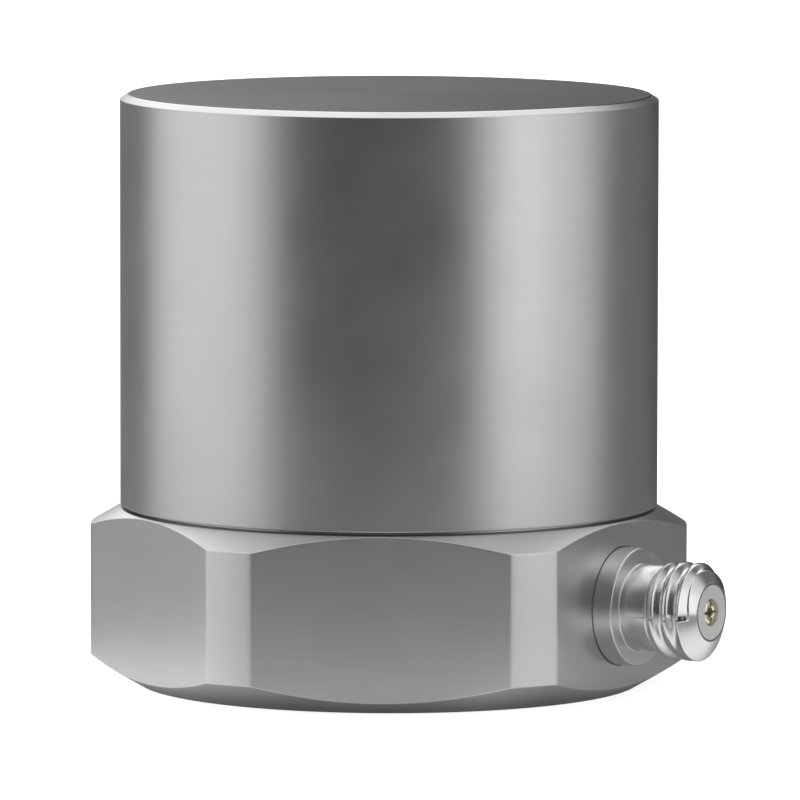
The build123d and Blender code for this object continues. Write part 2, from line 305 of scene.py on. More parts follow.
def faces_of(rows, columns, loop):
    """Corner numbers of the faces between the grid's rows. The columns close, and the rows too for a loop."""
    number = np.arange(rows * columns).reshape(rows, columns)
    here, there = (number, np.roll(number, -1, 0)) if loop else (number[:-1], number[1:])
    quads = np.stack([here, np.roll(here, -1, 1), np.roll(there, -1, 1), there], -1)
    if loop:
        return quads.reshape(-1, 4), np.zeros((0, 3), int)
    first, last = quads[0][:, [0, 2, 3]], quads[-1][:, [0, 1, 3]]
    first[:, 0], last[:, 2] = number[0, 0], number[-1, 0]
    return quads[1:-1].reshape(-1, 4), np.concatenate([first, last])


def skin(name, grid, loop=False):
    """Object whose mesh passes through a grid of points (row, column, xyz) in millimetres. A point that no
    face needs is left out, which makes a row on the axis one point."""
    rows, columns = grid.shape[:2]
    quads, triangles = faces_of(rows, columns, loop)
    points = grid.reshape(-1, 3) * MM
    halves = np.concatenate([quads[:, [0, 1, 2]], quads[:, [0, 2, 3]], triangles])
    if np.linalg.det(points[halves]).sum() < 0:
        quads, triangles = quads[:, ::-1], triangles[:, ::-1]
    used, place_of = np.unique(np.concatenate([quads.ravel(), triangles.ravel()]), return_inverse=True)
    quads, triangles = place_of[: quads.size].reshape(-1, 4), place_of[quads.size :].reshape(-1, 3)
    mesh = bpy.data.meshes.new(name)
    mesh.from_pydata(points[used].tolist(), [], quads.tolist() + triangles.tolist())
    mesh.shade_smooth()
    made = bpy.data.objects.new(name, mesh)
    bpy.context.scene.collection.objects.link(made)
    print(f"{name}: {len(used)} points, {2 * len(quads) + len(triangles)} triangles")
    return made


# %% [markdown]
# ## Cutting a hole into a surface
#
# A round hole in a flat side doesn't follow the grid of the side. A Boolean takes the room of a cutter out
# of the piece, just as the counterbore does on the milling machine. The result is kept as the piece's mesh,
# the cutter is removed, and edges of more than 40 degrees are marked sharp, so that a hole doesn't bend the
# shading round it.

# %% Define the cut, and the two ways to turn an outline
SHARP_EDGE = math.radians(40)


def cut(piece, *cutters):
    """Takes the room of the cutters out of the piece and keeps the result as its mesh."""
    for cutter in cutters:
        modifier = piece.modifiers.new("cut", "BOOLEAN")
        modifier.operation, modifier.solver, modifier.object = "DIFFERENCE", "EXACT", cutter
    graph = bpy.context.evaluated_depsgraph_get()
    mesh = bpy.data.meshes.new_from_object(piece.evaluated_get(graph))
    piece.modifiers.clear()
    piece.data = mesh
    mesh.materials.clear()
    mesh.shade_smooth()
    mesh.set_sharp_from_angle(angle=SHARP_EDGE)
    for cutter in cutters:
        bpy.data.objects.remove(cutter)
    print(f"{piece.name}: {len(mesh.polygons)} faces after the cut")


def turn_about_z(outline, columns, x=0.0):
    """Outline of (radius, height) turned about an upright axis: x = r cos t, y = r sin t, z = height."""
    t = np.linspace(0, 2 * np.pi, columns, endpoint=False)
    r, z = outline[:, 0, None], outline[:, 1, None]
    return np.stack([x + r * np.cos(t), r * np.sin(t), z + 0 * t], -1)


def about_socket(out, radius, t):
    """Points at a distance out from the flat, at a radius from the socket's axis and an angle t about it."""
    shape = np.broadcast_shapes(np.shape(out), np.shape(radius), np.shape(t))
    x = np.broadcast_to(FLAT + out, shape)
    y = radius * np.cos(t) + np.zeros(shape)
    z = SOCKET_Z + radius * np.sin(t) + np.zeros(shape)
    return np.stack([x, y, z], -1)


# %% [markdown]
# ## The base
#
# The base is milled from round bar: six flats for a 27 mm wrench, which leave a narrow band of the turned
# bar at each corner. Then the lathe cuts a 30 degree cone at the top and at the bottom, so every flat ends
# in two curved edges. Above the upper cone a narrow seam groove and a register take the can.

# %% Size the base
CLEARANCE = 0.05
CAN_WALL = 1.20
EDGE_SLOPE = math.tan(math.radians(30))
LOWER_CONE_TOP = 1.38
UPPER_CONE_FOOT = 7.92
SEAM_HIGH = 0.15
SEAM_DEEP = 0.60
SEAT_R = CORNER - LOWER_CONE_TOP / EDGE_SLOPE
UPPER_CONE_TOP = CAN_FOOT - SEAM_HIGH
SEAM_R = CAN_R - SEAM_DEEP
REGISTER_R = CAN_R - CAN_WALL - CLEARANCE
print(f"the base seats on {2 * SEAT_R:.2f} mm, and the can's register has {2 * REGISTER_R:.2f} mm")

# %% [markdown]
# ## Columns round the base
#
# Seen from above, the base's side is as far from the axis as the smaller of two things: the flat's
# distance, which is half the width across flats over the cosine of the angle from its middle, and the
# corner's radius. The two are eased over two hundredths of a millimetre where they meet, at the crease. The
# grid's columns stand close together there, and far apart on the flats and on the bands between them.

# %% Space the columns
CREASE_EASE = 0.02
SIXTH = math.radians(60)
CREASE_ROOM = math.radians(1.3)

crease = math.acos(FLAT / CORNER)
near_crease = np.radians([-0.9, -0.5, -0.3, -0.15, 0.0, 0.15, 0.3, 0.5, 0.9])
flat_part = np.linspace(CREASE_ROOM - crease, crease - CREASE_ROOM, 29)
band_part = np.linspace(crease + CREASE_ROOM, SIXTH - crease - CREASE_ROOM, 5)
sector = np.concatenate([near_crease - crease, flat_part, near_crease + crease, band_part])
around = (sector + SIXTH * np.arange(6)[:, None]).ravel()
print(f"a flat ends {math.degrees(crease):.2f} degrees from its middle; columns round it all: {len(around)}")


def side_distance(t):
    """Smaller of flat / cos(angle from the flat's middle) and the corner radius, eased where they meet."""
    off = (t + SIXTH / 2) % SIXTH - SIXTH / 2
    flat = FLAT / np.cos(off)
    return (flat + CORNER) / 2 - np.hypot((flat - CORNER) / 2, CREASE_EASE)


# %% [markdown]
# ## The base's outline and its hole
#
# Each column of the grid gets an outline of its own for its distance from the axis, and the curved edges of
# the flats follow by themselves. The mounting hole is part of the same surface. Its thread is a height
# field: at each height and angle the wall's distance is that of a 60 degree groove whose phase turns once
# per pitch.

# %% Draw the outline of one column
HOLE_MOUTH_R = 2.60


def base_outline(r):
    """Outline from the hole's mouth over the bottom, up the side at distance r, and over the register."""
    zero = 0 * r
    corners = [
        (zero + HOLE_MOUTH_R, zero),
        (zero + SEAT_R, zero),
        (r, (r - SEAT_R) * EDGE_SLOPE),
        (r, UPPER_CONE_FOOT + (CORNER - r) * EDGE_SLOPE),
        (zero + CAN_R, zero + UPPER_CONE_TOP),
        (zero + SEAM_R, zero + UPPER_CONE_TOP),
        (zero + SEAM_R, zero + CAN_FOOT),
        (zero + REGISTER_R, zero + CAN_FOOT),
        (zero + REGISTER_R, zero + REGISTER_TOP),
        (zero, zero + REGISTER_TOP),
    ]
    corners = np.moveaxis(np.array(corners), 2, 0)
    return rounded(corners, [0.12, 0.07, 0.07, 0.05, 0.03, 0.03, 0.05, 0.10])


outline = base_outline(side_distance(around))[:, 1:]
print("points in one outline:", outline.shape[1])

# %% Thread the hole and skin the base
THREAD_PITCH = 0.80
FLANK_RISE = math.tan(math.radians(60))
HOLE_R = 2.10
GROOVE_R = 2.50
HOLE_DEPTH = 6.50
THREAD_END = HOLE_DEPTH - 0.3
HOLE_POINT = HOLE_R / math.tan(math.radians(59))


def hole_wall(z, t):
    """Radius of the tapped hole: the drill's, a 60 degree groove of one turn per pitch, the mouth's cone."""
    phase = ((z / THREAD_PITCH - t / (2 * np.pi)) % 1.0 - 0.5) * THREAD_PITCH
    groove = GROOVE_R - np.maximum(np.abs(phase) - THREAD_PITCH / 16, 0) * FLANK_RISE
    depth = np.clip(groove - HOLE_R, 0, None) * np.clip((THREAD_END - z) / THREAD_PITCH, 0, 1)
    return np.maximum(HOLE_R + depth, HOLE_MOUTH_R - z)


hole_z = np.concatenate([np.linspace(HOLE_DEPTH, 0.05, 92), [0.02, 0.0]])[:, None]
hole_r = hole_wall(hole_z, around)
base_r = np.concatenate([0 * around[None], hole_r, outline[..., 0].T])
base_z = np.concatenate([[HOLE_DEPTH + HOLE_POINT + 0 * around], hole_z + 0 * around, outline[..., 1].T])
base_grid = np.stack([base_r * np.cos(around), base_r * np.sin(around), base_z], -1)
case_base = skin("case_base", base_grid)

# %% [markdown]
# ## The side bore of the base
#
# The socket stands in a counterbore on one flat. Behind it a bore leads to the wiring pocket, which is open
# at the top, under the can. All three are cut with cylinders that stand a little out of the metal, because
# a cutter whose end lies in the surface leaves a thin skin.

# %% Cut the counterbore, the bore and the pocket
BODY_R = 2.30
BODY_ROOM_R = BODY_R + CLEARANCE
SPOTFACE_R = FLANGE_R + CLEARANCE
SPOTFACE_IN = 0.20
POCKET_X = 7.50
POCKET_R = 2.80
POCKET_FLOOR = 2.40
CUTTER_TOP = 12.0


def round_cutter(name, radius, start, end):
    """Closed cylinder about the socket's axis, between two distances out from the flat."""
    t = np.linspace(0, 2 * np.pi, 128, endpoint=False)
    out = np.array([start, start, end, end])[:, None]
    r = np.array([0, radius, radius, 0])[:, None]
    return skin(name, about_socket(out, r, t))


pocket_outline = [(0, POCKET_FLOOR), (POCKET_R, POCKET_FLOOR), (POCKET_R, CUTTER_TOP), (0, CUTTER_TOP)]
cut(
    case_base,
    round_cutter("counterbore cutter", SPOTFACE_R, -SPOTFACE_IN, 2.0),
    round_cutter("bore cutter", BODY_ROOM_R, POCKET_X - FLAT, 1.0),
    skin("pocket cutter", turn_about_z(np.array(pocket_outline), 96, POCKET_X)),
)

# %% [markdown]
# ## The can
#
# The can is a cup turned from bar: a thin wall, a flat top and a small chamfer between them, with its open
# edge on the base's shoulder. Its whole section, inside and outside, is one outline that starts and ends on
# the axis, so the turned surface is closed and has a real wall.

# %% Turn the can
CHAMFER_IN = 0.43
CHAMFER_DOWN = 0.26

can_corners = [
    (0, CAN_TOP - CAN_WALL),
    (CAN_R - CAN_WALL, CAN_TOP - CAN_WALL),
    (CAN_R - CAN_WALL, CAN_FOOT),
    (CAN_R, CAN_FOOT),
    (CAN_R, CAN_TOP - CHAMFER_DOWN),
    (CAN_R - CHAMFER_IN, CAN_TOP),
    (0, CAN_TOP),
]
can_outline = rounded(can_corners, [0.40, 0.04, 0.08, 0.07, 0.09])
case_can = skin("case_can", turn_about_z(can_outline, 288))

# %% [markdown]
# ## The socket's shell
#
# The shell is the outside of a small coaxial socket with an M5 thread of 0.8 mm pitch: a flange that seats
# on the flat, an undercut neck, the threaded barrel and a coned nose. The body in the bore and the bore
# through it belong to the same closed outline.
#
# On the barrel the radius is the smaller of two things: the envelope, which rises from the neck, runs level
# and falls along the cone, and the thread, a 60 degree ridge with a rounded crest and root, whose crest
# moves out by one pitch per turn. The cone therefore cuts the last turn just as the tool does. In front of
# the last crest the groove runs out. The thread's first cut also takes a shallow step off the cone. The
# step follows the turn and stops short at the side that shows, and a small deep pit lies behind its end.

# %% Size the shell
BORE_R = 1.34
FLANGE_OUT = 1.05
NECK_R = 2.12
NECK_OUT = 2.40
BARREL_R = 2.46
BARREL_START = 2.95
BARREL_END = 4.50
NOSE_R = 1.46

turn = np.linspace(0, 2 * np.pi, 240, endpoint=False)
fine_turn = np.radians(np.arange(177.0, 192.0, 0.5))
shell_turn = np.unique(np.concatenate([turn, fine_turn]))
shell_turn = shell_turn[np.append(np.diff(shell_turn) > 1e-6, True)]
print(f"the socket stands {NOSE_OUT:.2f} mm out; columns round it: {len(shell_turn)}")

# %% Shape the step and the pit on the cone
STEP_OUT = 4.87
STEP_DEEP = 0.06
STEP_STOP = math.radians(187)
PIT_BACK = 4.30
PIT_FRONT = 4.76
PIT_DEEP = 0.62
PIT_START = math.radians(179.5)


def fade(x):
    """Smooth step from 0 at x = 0 to 1 at x = 1: x squared times (3 - 2 x)."""
    x = np.clip(x, 0, 1)
    return x * x * (3 - 2 * x)


def step_depth(out, t):
    """Depth of the step: it ends at STEP_OUT where it stops, and a pitch times turns further back before."""
    step_end = STEP_OUT - THREAD_PITCH * (STEP_STOP - t) / (2 * np.pi)
    return STEP_DEEP * fade((step_end - out) / 0.05) * fade((STEP_STOP - t) / math.radians(1.5))


def pit_depth(out, t):
    """Depth of the pit: a product of four smooth steps, one at each of its sides."""
    along = PIT_DEEP * fade((out - PIT_BACK) / 0.08) * fade((PIT_FRONT - out) / 0.10)
    return along * fade((t - PIT_START) / math.radians(2)) * fade((STEP_STOP - t) / math.radians(2))


print(f"the step is {STEP_DEEP} mm deep, and the pit behind its end {PIT_DEEP} mm")

# %% Shape the thread on the barrel
ROOT_R = 2.04
CREST_OUT = 2.52
CREST_HALF = 0.03
FLANK_TOP_R = BARREL_R + 0.08
CREST_R = BARREL_R + 0.04
CREST_EASE = 0.16
ROOT_EASE = 0.14
RUNOUT_START = math.radians(185)
RUNOUT_LONG = math.radians(65)
START_LONG = math.radians(60)
FILLED_R = BARREL_R + 0.1


def smaller(a, b, ease=0.02):
    """The smaller of two values with the kink eased: half their sum, less the hypotenuse of half their
    difference and half the ease."""
    return (a + b) / 2 - np.hypot((a - b) / 2, ease / 2)


def ridge_radius(out, turns):
    """Radius of the thread: flanks that fall at 60 degrees from a crest, which is at CREST_OUT plus the pitch
    times turns. They are capped at the crest's radius and held at the root's, both eased."""
    phase = ((out - CREST_OUT) / THREAD_PITCH - turns + 0.5) % 1.0 - 0.5
    flank = FLANK_TOP_R - (np.abs(phase) * THREAD_PITCH - CREST_HALF) * FLANK_RISE
    capped = smaller(flank, CREST_R + 0 * flank, CREST_EASE)
    return -smaller(-capped, -ROOT_R + 0 * flank, ROOT_EASE)


def barrel_radius(out, t):
    """Smaller of the envelope, less step and pit, and of the thread. In front of the last crest the groove is
    filled. That starts at 185 degrees, is whole at 250 and ends over the first 60 degrees of the next turn."""
    places = [NECK_OUT, BARREL_START, BARREL_END, NOSE_OUT]
    envelope = np.interp(out, places, [NECK_R, BARREL_R, BARREL_R, NOSE_R])
    turns = t / (2 * np.pi)
    ridge = ridge_radius(out, turns)
    last_crest = CREST_OUT + THREAD_PITCH * (turns + np.where(turns < 1 / 3, 2, 1))
    filled = fade((t - RUNOUT_START) / RUNOUT_LONG) + fade(1 - t / START_LONG)
    filled = filled * fade((out - last_crest) / 0.15)
    whole = envelope - step_depth(out, t) - pit_depth(out, t)
    return smaller(whole, ridge + (FILLED_R - ridge) * filled)


barrel_out = np.linspace(NECK_OUT, NOSE_OUT - 0.06, 110)[:, None]
barrel = barrel_radius(barrel_out, shell_turn)
print(f"barrel radius from {barrel.min():.2f} to {barrel.max():.2f} mm")

# %% Skin the shell
shell_back = [
    (1.0, BORE_R),
    (BODY_BACK, BORE_R),
    (BODY_BACK, BODY_R),
    (-SPOTFACE_IN, BODY_R),
    (-SPOTFACE_IN, FLANGE_R),
    (FLANGE_OUT, FLANGE_R),
    (FLANGE_OUT, NECK_R),
    (NECK_OUT - 0.02, NECK_R),
]
shell_back = rounded(shell_back, [0.05, 0.05, 0.02, 0.05, 0.08, 0.10])
shell_front = [(NOSE_OUT - 0.03, NOSE_R + 0.03), (NOSE_OUT, NOSE_R), (NOSE_OUT, BORE_R), (1.5, BORE_R)]
shell_front = rounded(shell_front, [0.05, 0.01], rest=0.01)[1:]
shell_parts = [
    about_socket(shell_back[:, :1], shell_back[:, 1:], shell_turn),
    about_socket(barrel_out, barrel, shell_turn),
    about_socket(shell_front[:, :1], shell_front[:, 1:], shell_turn),
]
socket_shell = skin("socket_shell", np.concatenate(shell_parts), loop=True)

# %% [markdown]
# ## Insulator and contact
#
# A PTFE tube fills the shell, and its end is the pale ring at the front. At its centre stands the gilt
# contact, a turned pin with a bore for the plug's pin, slotted crosswise so that its four fingers can
# spring. The slots are sawn after turning, so they are cut here too.
#
# Shell and tube have a hole all the way through, so their outline is a loop. It starts and ends within the
# straight run along the shell's bore, where its two ends meet without a corner.

# %% Turn the insulator
CONTACT_R = 0.60
ROOM_R = 0.68
ROOM_DEEP = 2.2
TAIL_R = 0.35
TUBE_BACK = -1.5
SHOULDER = 0.9

tube = [
    (2.0, BORE_R),
    (TUBE_BACK, BORE_R),
    (TUBE_BACK, TAIL_R),
    (SHOULDER, TAIL_R),
    (SHOULDER, CONTACT_R),
    (NOSE_OUT - ROOM_DEEP, CONTACT_R),
    (NOSE_OUT - ROOM_DEEP, ROOM_R),
    (NOSE_OUT, ROOM_R),
    (NOSE_OUT, BORE_R),
    (2.2, BORE_R),
]
tube = rounded(tube, [0.05, 0.05, 0.02, 0.02, 0.02, 0.02, 0.02, 0.01], rest=0.005)
socket_insulator = skin("socket_insulator", about_socket(tube[:, :1], tube[:, 1:], turn[::2]), loop=True)

# %% Turn the contact and saw its slots
CONTACT_FRONT = NOSE_OUT - 0.04
TAIL_END = -4.0
PIN_BORE_R = 0.25
PIN_BORE_DEEP = 2.0
SLOT_DEEP = 1.8
SLOT_HALF = 0.07
BLADE_HALF = 1.0
BLADE_PAST = 0.5

pin = [
    (TAIL_END, 0),
    (TAIL_END, TAIL_R),
    (SHOULDER, TAIL_R),
    (SHOULDER, CONTACT_R),
    (CONTACT_FRONT, CONTACT_R),
    (CONTACT_FRONT, PIN_BORE_R),
    (CONTACT_FRONT - PIN_BORE_DEEP, PIN_BORE_R),
    (CONTACT_FRONT - PIN_BORE_DEEP, 0),
]
pin = rounded(pin, [0.08, 0.02, 0.04, 0.16, 0.10, 0.03], rest=0.01)
socket_contact = skin("socket_contact", about_socket(pin[:, :1], pin[:, 1:], turn[::3]))


def saw_blade(name, half_y, half_z):
    """Closed block: a ring of four corners, carried from the slot's end to past the contact's front."""
    y, z = np.array([-1, 1, 1, -1]) * half_y, np.array([-1, -1, 1, 1]) * half_z
    slot_end, past = CONTACT_FRONT - SLOT_DEEP, CONTACT_FRONT + BLADE_PAST
    x = FLAT + np.array([slot_end, slot_end, past, past])
    size = np.array([0, 1, 1, 0])[:, None]
    return skin(name, np.stack([x[:, None] + 0 * y, size * y, SOCKET_Z + size * z], -1))


cut(
    socket_contact,
    saw_blade("level blade", BLADE_HALF, SLOT_HALF),
    saw_blade("upright blade", SLOT_HALF, BLADE_HALF),
)

# %% [markdown]
# ## What every finish has in common
#
# A real surface is never quite even. Each finish below therefore starts from one pattern of noise on the
# piece's own coordinates, at the size of its real grain or tool marks. The pattern mixes two close colours,
# moves the roughness a little, and lifts a very low relief.

# %% Define the parts that all finishes share
def uneven(tree, pattern, middle, spread):
    """Roughness from a pattern: middle less spread where it is 0.3, middle plus spread where it is 0.7."""
    sockets = {"Value": pattern, 1: 0.3, 2: 0.7, 3: middle - spread, 4: middle + spread}
    return add(tree, "ShaderNodeMapRange", sockets).outputs[0]


def finish_with(tree, pattern, colours, relief_mm, sockets):
    """Ends a finish: the pattern mixes two colours and stands relief_mm high, other sockets are as given."""
    mixed = {"Factor": pattern, 6: linear(colours[0]), 7: linear(colours[1])}
    tint = add(tree, "ShaderNodeMix", mixed, data_type="RGBA").outputs[2]
    lifted = {"Height": pattern, "Strength": 1.0, "Distance": relief_mm * MM}
    normal = add(tree, "ShaderNodeBump", lifted).outputs[0]
    sockets = {"Base Color": tint, "Normal": normal, **sockets}
    shader = add(tree, "ShaderNodeBsdfPrincipled", sockets).outputs[0]
    add(tree, "ShaderNodeOutputMaterial", {"Surface": shader})


# %% [markdown]
# ## Turned and milled stainless steel
#
# The case is austenitic stainless steel. The can is turned to a satin finish: the tool leaves very fine
# rings, too fine to see one by one, which spread a reflection along the axis more than round it. The shader
# does the same with anisotropy, along a tangent that is the cross product of the case's axis and the point.
# Real feed marks are 0.05 mm apart. They are drawn 0.12 mm apart, as fine as the picture can carry.
#
# On this steel the roughness follows a second pattern, of soft blotches. The can's top is faced with a finer
# cut, so its roughness is lower, and it shows the back of the tent more clearly.

# %% Make the case's finishes
RINGS_MM = 0.12
RING_LENGTH_MM = 3.0
RING_SLOPE = 0.004
BLOTCH_MM = 4.0
RING_ANISOTROPY = 0.45
QUARTER_TURN = 0.25


def round_axis(tree, point, axis):
    """Direction round an axis through the origin, at each point: the cross product of axis and point."""
    across = add(tree, "ShaderNodeVectorMath", {0: axis, 1: point}, operation="CROSS_PRODUCT").outputs[0]
    return add(tree, "ShaderNodeVectorMath", {0: across}, operation="NORMALIZE").outputs[0]


def steel(name, colours, roughness, faced):
    """Stainless steel whose tool marks lie round the case's axis: noise, short upwards and long sideways. At
    the height of the can's top the roughness is multiplied by faced."""
    material, tree = new_material(name)
    point = add(tree, "ShaderNodeTexCoord").outputs["Object"]
    stretch = (1000 / RING_LENGTH_MM, 1000 / RING_LENGTH_MM, 1000 / RINGS_MM)
    marks_at = add(tree, "ShaderNodeVectorMath", {0: point, 1: stretch}, operation="MULTIPLY").outputs[0]
    marks = add(tree, "ShaderNodeTexNoise", {"Vector": marks_at, "Scale": 1.0, "Detail": 2.0}).outputs[0]
    sockets = {"Vector": point, "Scale": 1000 / BLOTCH_MM, "Detail": 3.0}
    blotch = add(tree, "ShaderNodeTexNoise", sockets).outputs[0]
    up = add(tree, "ShaderNodeSeparateXYZ", {0: point}).outputs["Z"]
    fine = smooth_step(tree, up, (CAN_TOP - 0.06) * MM, (CAN_TOP - 0.01) * MM, 1.0, faced)
    sockets = {
        "Metallic": 1.0,
        "Roughness": combine(tree, "MULTIPLY", uneven(tree, blotch, roughness, 0.03), fine),
        "Anisotropic": RING_ANISOTROPY,
        "Anisotropic Rotation": QUARTER_TURN,
        "Tangent": round_axis(tree, point, (0, 0, 1)),
    }
    finish_with(tree, marks, colours, RING_SLOPE * RINGS_MM, sockets)
    return material


# Satin turned steel gives the eye soft upright bands, light and dark, with no clear picture of the room.
turned_steel = steel("satin turned stainless steel", ("#CBCBCB", "#D0D0D0"), 0.36, faced=0.36)
# Milled steel of the same softness, a little lighter: each flat is one even tone, lighter at its foot.
milled_steel = steel("milled stainless steel", ("#D2D2D2", "#D8D8D8"), 0.35, faced=1.0)
case_can.data.materials.append(turned_steel)
case_base.data.materials.append(milled_steel)
print("finishes for the case:", turned_steel.name, "and", milled_steel.name)

# %% [markdown]
# ## The socket's finishes
#
# Shell, tube and contact are small turned parts, with marks round the socket's axis. The shell is stainless
# steel, satin at the flange and the neck and polished on the barrel and the nose, where the plug's nut
# runs. PTFE is a soft white plastic with a waxy look. The contact is a copper alloy plated with hard gold.

# %% Make the socket's finishes
MARK_LENGTH_MM = 0.8
POLISH_EDGE_MM = 0.3


def turned_small(name, colours, metallic, roughness, marks_mm, slope, ior=1.5, polish=1.0):
    """A small turned part: marks round the socket's axis, as noise that is short along it and long across.
    From the barrel outwards the roughness is multiplied by polish."""
    material, tree = new_material(name)
    point = add(tree, "ShaderNodeTexCoord").outputs["Object"]
    stretch = (1000 / marks_mm, 1000 / MARK_LENGTH_MM, 1000 / MARK_LENGTH_MM)
    marks_at = add(tree, "ShaderNodeVectorMath", {0: point, 1: stretch}, operation="MULTIPLY").outputs[0]
    marks = add(tree, "ShaderNodeTexNoise", {"Vector": marks_at, "Scale": 1.0, "Detail": 2.0}).outputs[0]
    along = add(tree, "ShaderNodeSeparateXYZ", {0: point}).outputs["X"]
    barrel_at = FLAT + BARREL_START
    polished = smooth_step(tree, along, (barrel_at - POLISH_EDGE_MM) * MM, barrel_at * MM, 1.0, polish)
    sockets = {
        "Metallic": metallic,
        "Roughness": combine(tree, "MULTIPLY", uneven(tree, marks, roughness, 0.03), polished),
        "IOR": ior,
    }
    finish_with(tree, marks, colours, slope * marks_mm, sockets)
    return material


# Polished steel shows small sharp highlights between dark lines, one on each crest of the thread.
polished_steel = turned_small(
    "polished stainless steel", ("#DADADA", "#E2E2E2"), 1.0, 0.33, 0.10, 0.008, polish=0.5
)
# PTFE looks flat and off-white, with a weak gloss.
white_ptfe = turned_small("turned PTFE", ("#D6D6D4", "#DEDEDC"), 0.0, 0.42, 0.10, 0.010, ior=1.38)
# Hard gold is pale for gold, and its gloss is soft.
gold_plate = turned_small("hard gold plate on bronze", ("#FBF5CC", "#FFFBE2"), 1.0, 0.34, 0.08, 0.010)
socket_shell.data.materials.append(polished_steel)
socket_insulator.data.materials.append(white_ptfe)
socket_contact.data.materials.append(gold_plate)
print("finishes for the socket:", polished_steel.name + ",", white_ptfe.name, "and", gold_plate.name)

# %% [markdown]
# ## The pieces inside
#
# The case is closed, so the pieces inside keep their CAD shapes. Each still gets the finish of its real
# material, because the model can be taken apart. A cut ceramic, a ground metal or a moulded plastic differ
# in colour, gloss and grain, and these three are what the function takes.

# %% Define the grained finish
def grained(name, colours, metallic, roughness, grain_mm, slope, ior=1.5):
    """A finish with an even grain: noise of that grain size tints the colour, the gloss and the relief."""
    material, tree = new_material(name)
    point = add(tree, "ShaderNodeTexCoord").outputs["Object"]
    sockets = {"Vector": point, "Scale": 1000 / grain_mm, "Detail": 3.0}
    grain = add(tree, "ShaderNodeTexNoise", sockets).outputs[0]
    sockets = {"Metallic": metallic, "Roughness": uneven(tree, grain, roughness, 0.05), "IOR": ior}
    finish_with(tree, grain, colours, slope * grain_mm, sockets)
    return material


# %% Finish the pieces inside
inside = {
    # Melted glass: dark green, with a wet gloss.
    "connector_seal": grained("fused sealing glass", ("#1F3A34", "#2A4A42"), 0.0, 0.12, 0.30, 0.01, 1.52),
    # Ground ceramic: warm white and matt.
    "insulating_disc": grained("ground alumina", ("#E9E4D8", "#F2EEE4"), 0.0, 0.55, 0.10, 0.02, 1.76),
    # Ground steel: mid grey, with a soft gleam.
    "element_post": grained("ground stainless steel", ("#B9B8B5", "#C6C5C2"), 1.0, 0.30, 0.15, 0.02),
    # Fired ceramic: a dull brown grey, like stone.
    "piezo_plate": grained("fired piezo ceramic", ("#8A7B62", "#9A8B70"), 0.0, 0.60, 0.08, 0.02, 1.70),
    # Rolled bronze: reddish, with a smooth gleam.
    "contact_foil": grained("rolled bronze foil", ("#C08A55", "#CE9C68"), 1.0, 0.22, 0.20, 0.01),
    # Sintered metal: darker than steel, with a faint grain.
    "seismic_mass": grained("sintered tungsten", ("#77767A", "#86858A"), 1.0, 0.42, 0.12, 0.03),
    # Heat tinged metal: a warm grey.
    "clamping_ring": grained("heat shrunk ring alloy", ("#8F8C86", "#A19E97"), 1.0, 0.34, 0.15, 0.02),
    # Anodised aluminium: pale and silky, without bright glints.
    "board_spacer": grained("anodised aluminium", ("#9BA0A3", "#A7ACAF"), 1.0, 0.45, 0.06, 0.02),
    # Cold formed steel: dark and a little greasy.
    "board_screw": grained("cold formed steel", ("#6E6D6B", "#7B7A78"), 1.0, 0.36, 0.12, 0.02),
    # Epoxy over glass cloth: green and glossy, with a faint grain.
    "amplifier_board": grained("glass epoxy laminate", ("#1E5A3A", "#26683F"), 0.0, 0.32, 0.25, 0.02, 1.52),
    # Fired package: brown black and matt.
    "amplifier_chip": grained("fired package ceramic", ("#37332F", "#433E39"), 0.0, 0.58, 0.08, 0.02, 1.65),
    # Glazed body: black, with a clear gloss.
    "board_resistor": grained("glazed chip resistor", ("#17181A", "#232527"), 0.0, 0.28, 0.20, 0.01, 1.55),
    # Moulded epoxy: amber, with a soft gloss.
    "board_capacitor": grained("moulded capacitor epoxy", ("#C98F2B", "#D69C36"), 0.0, 0.42, 0.12, 0.02, 1.52),
    # Drawn brass: yellow, with a smooth gleam.
    "shield_can": grained("drawn brass", ("#B99A54", "#C5A862"), 1.0, 0.26, 0.30, 0.01),
    # Film wound in layers: deep amber and glossy.
    "isolating_sleeve": grained("wound polyimide film", ("#9A5E14", "#AB6E1F"), 0.0, 0.22, 0.30, 0.01, 1.70),
    # Silicone rubber: grey and matt.
    "top_pad": grained("cast silicone rubber", ("#8C8F91", "#999C9E"), 0.0, 0.62, 0.15, 0.03, 1.41),
    # Tinned wire: silvery.
    "charge_lead": grained("tinned copper wire", ("#B8B8B4", "#C6C6C2"), 1.0, 0.28, 0.10, 0.02),
    # Extruded plastic: white, with a soft gloss.
    "signal_wire": grained("extruded white insulation", ("#E4E4E0", "#EFEFEB"), 0.0, 0.38, 0.15, 0.01, 1.35),
    # Extruded plastic: black, with a soft gloss.
    "ground_wire": grained("extruded black insulation", ("#1A1A1B", "#242425"), 0.0, 0.38, 0.15, 0.01, 1.35),
}
for node_name, cad_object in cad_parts.items():
    family = node_name.rstrip("0123456789").rstrip("_")
    if family in inside:
        cad_object.data.materials.clear()
        cad_object.data.materials.append(inside[family])
print("finishes for the inside:", len(inside))

# %% [markdown]
# ## Dress the frame
#
# Each surface now stands in for its CAD node and rides on the same body.

# %% Put the pieces on the frame
for piece, cad_node, slot_name in (
    (case_base, "base", "milled_stainless"),
    (case_can, "outer_can", "turned_stainless"),
    (socket_shell, "connector_shell", "polished_stainless"),
    (socket_insulator, "connector_insulator", "ptfe"),
    (socket_contact, "connector_contact", "gilt_bronze"),
):
    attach(piece, "root")
    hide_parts(cad_node)
    print(piece.name, "stands in for", cad_node)

